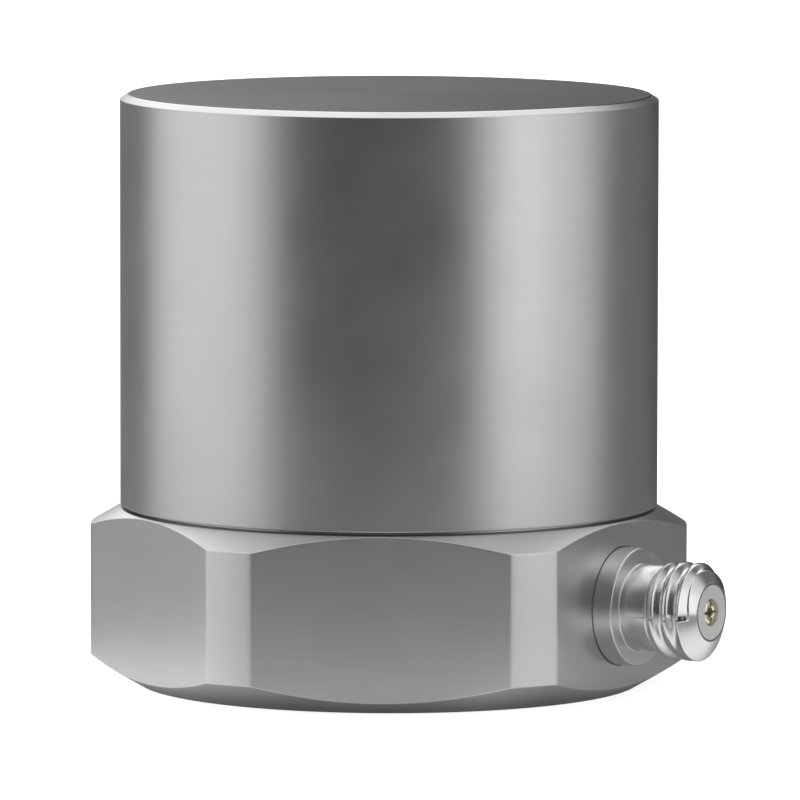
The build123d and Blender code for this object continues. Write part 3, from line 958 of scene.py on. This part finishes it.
# %% [markdown]
# ## The table
#
# The sensor stands on a plain pale table. The table glows a little, like frosted acrylic lit from below, so
# it stays near white and the shadow round the base is only a breath. It is open under the base, so that no
# sheet lies in the base's bottom face. From below it is clear, and it isn't seen in the steel.

# %% Lay the table
DISC_COLUMNS = 96
TABLE_GLOW = 0.80
GRAIN_MM = 2.0


def disc(name, radii, z):
    """Flat rings round the case's axis, at height z."""
    outline = np.array([(r, z) for r in radii], float)
    grid = turn_about_z(outline, DISC_COLUMNS)
    number = np.arange(len(radii) * DISC_COLUMNS).reshape(len(radii), DISC_COLUMNS)
    here, there = number[:-1], number[1:]
    quads = np.stack([here, there, np.roll(there, -1, 1), np.roll(here, -1, 1)], -1).reshape(-1, 4)
    mesh = bpy.data.meshes.new(name)
    mesh.from_pydata((grid.reshape(-1, 3) * MM).tolist(), [], quads.tolist())
    made = bpy.data.objects.new(name, mesh)
    bpy.context.scene.collection.objects.link(made)
    print(f"{name}: from {radii[0]:.2f} to {radii[-1]} mm round the axis")
    return made


table = disc("table", [SEAT_R - 0.05, 20, 60, 200, 1000, 4000], 0.0)
# Frosted acrylic has no highlight of its own, so the eye sees one even pale sheet.
material, tree = new_material("frosted white acrylic")
point = add(tree, "ShaderNodeTexCoord").outputs["Object"]
grain = add(tree, "ShaderNodeTexNoise", {"Vector": point, "Scale": 1000 / GRAIN_MM, "Detail": 2.0}).outputs[0]
rough = add(tree, "ShaderNodeMapRange", {"Value": grain, 3: 0.7, 4: 0.9}).outputs[0]
sockets = {"Base Color": linear("#F4F4F3"), "Roughness": rough, "Specular IOR Level": 0.0}
sockets.update({"Emission Color": WHITE, "Emission Strength": TABLE_GLOW})
top_side = add(tree, "ShaderNodeBsdfPrincipled", sockets).outputs[0]
under_side = add(tree, "ShaderNodeBsdfTransparent").outputs[0]
which = add(tree, "ShaderNodeNewGeometry").outputs["Backfacing"]
both = add(tree, "ShaderNodeMixShader", {0: which, 1: top_side, 2: under_side}).outputs[0]
add(tree, "ShaderNodeOutputMaterial", {"Surface": both})
table.data.materials.append(material)
table.visible_glossy = table.visible_diffuse = table.visible_shadow = False

# %% [markdown]
# ## The bounce card
#
# What the steel's lower half sees is a separate round bounce card, as a photographer lays a white card
# beside a shiny object. It is grey, and brighter next to the base, most of all where the lit walls stand. A
# strip at the left is brighter over its whole length, and the side beyond the socket is dimmer. The card
# falls off in the shadow under the base's edge, and a short arc of shade lies under the socket. Like the
# tent's cloths, each of these is a smooth step, of the direction or of the distance from the centre.

# %% Lay the bounce card
CARD_GREY = 0.34
CARD_NEAR = 0.68
CARD_DOWN = -0.2

card = disc("bounce card", [11.6, 14, 16, 20, 25, 30, 40, 50, 60, 70], CARD_DOWN)
material, tree = new_material("bounce card")
point = add(tree, "ShaderNodeTexCoord").outputs["Object"]
far = add(tree, "ShaderNodeVectorMath", {0: point}, operation="LENGTH").outputs["Value"]
level = laid_flat(tree, point)
left_part = cloth(tree, level, view_direction(-93), core=30, reach=74, brightness=0.30)
right_part = cloth(tree, level, view_direction(50), core=10, reach=45, brightness=0.35)
near = combine(tree, "ADD", left_part, right_part, CARD_NEAR - CARD_GREY)
near = combine(tree, "MULTIPLY", near, smooth_step(tree, far, 20 * MM, 34 * MM, 1.0, 0.0))
left_strip = cloth(tree, level, view_direction(-62), core=6, reach=24, brightness=0.15)
under_edge = smooth_step(tree, far, 12.0 * MM, 17.0 * MM, 0.10, 1.0)
shade = cloth(tree, level, view_direction(54), core=14, reach=36, brightness=-0.75)
shade_out = smooth_step(tree, far, 17.2 * MM, 20.8 * MM, 1.0, 0.0)
shade_in = smooth_step(tree, far, 14.2 * MM, 15.5 * MM, 0.5, 1.0)
shade = combine(tree, "MULTIPLY", shade, shade_out, shade_in)
dim_side = cloth(tree, level, view_direction(108), core=12, reach=40, brightness=-0.50)
shade = combine(tree, "ADD", shade, dim_side, 1.0)
card_light = combine(tree, "ADD", near, left_strip, CARD_GREY)
card_light = combine(tree, "MULTIPLY", card_light, under_edge, shade)
light = add(tree, "ShaderNodeEmission", {"Color": WHITE, "Strength": card_light}).outputs[0]
add(tree, "ShaderNodeOutputMaterial", {"Surface": light})
card.data.materials.append(material)
card.visible_camera = card.visible_shadow = False
